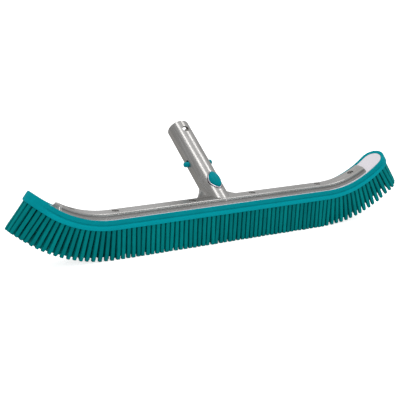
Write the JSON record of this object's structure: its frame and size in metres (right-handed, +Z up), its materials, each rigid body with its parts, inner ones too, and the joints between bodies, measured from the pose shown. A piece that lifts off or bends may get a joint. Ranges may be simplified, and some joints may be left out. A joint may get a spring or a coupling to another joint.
{
  "type": "pool wall brush",
  "caption": "Curved pool wall brush: cast metal back bar with a leaning tubular handle and a push-button clip, pale core plate, rubber rim and rows of tapered rubber fingers.",
  "frame": {"origin": "flat tip of the middle finger, under the middle of the head, on the surface that the brush stands on", "axes": "+X along the head, +Y the side that the handle leans to, +Z up from the finger tips through the bar"},
  "size_m": [0.5584, 0.142, 0.1284],
  "materials": {
    "cast_aluminium": "polished die casting with fine brushing",
    "bright_metal": "bright plated",
    "screw_steel": "plain stainless",
    "pale_plastic": "satin moulded",
    "teal_rubber": "satin moulded rubber",
    "teal_plastic": "semi-gloss moulded"
  },
  "bodies": {
    "brush_body": {"back_bar_and_handle": "cast_aluminium", "core_plate": "pale_plastic", "rubber_rim": "teal_rubber", "finger_pad_left": "teal_rubber", "finger_pad_middle": "teal_rubber", "finger_pad_right": "teal_rubber", "head_screw_1": "screw_steel", "head_screw_2": "screw_steel", "head_screw_3": "screw_steel", "head_screw_4": "screw_steel", "head_screw_5": "screw_steel", "head_screw_6": "screw_steel", "button_bezel": "bright_metal", "clip_heel": "teal_plastic"},
    "button": {"release_button": "teal_plastic"},
    "left_arm": {"clip_arm_left": "teal_plastic"},
    "right_arm": {"clip_arm_right": "teal_plastic"}
  },
  "joints": [
    {"name": "button_press", "type": "slide", "parent": "brush_body", "child": "button", "axis": [0, 0.5476, -0.8368], "range_m": [0, 0.0045], "stiffness_N_per_m": 2500, "springref_m": -0.0005},
    {"name": "left_arm_flex", "type": "hinge", "parent": "brush_body", "child": "left_arm", "pos_m": [-0.0032, 0.02594, 0.05796], "axis": [0, 0.5476, -0.8368], "range_deg": [0, 8.03]},
    {"name": "right_arm_flex", "type": "hinge", "parent": "brush_body", "child": "right_arm", "pos_m": [0.0032, 0.02594, 0.05796], "axis": [0, -0.5476, 0.8368], "range_deg": [0, 8.03]}
  ],
  "couplings": [
    {"joint": "left_arm_flex", "follows": "button_press", "rad_per_m": 31.11},
    {"joint": "right_arm_flex", "follows": "button_press", "rad_per_m": 31.11}
  ]
}
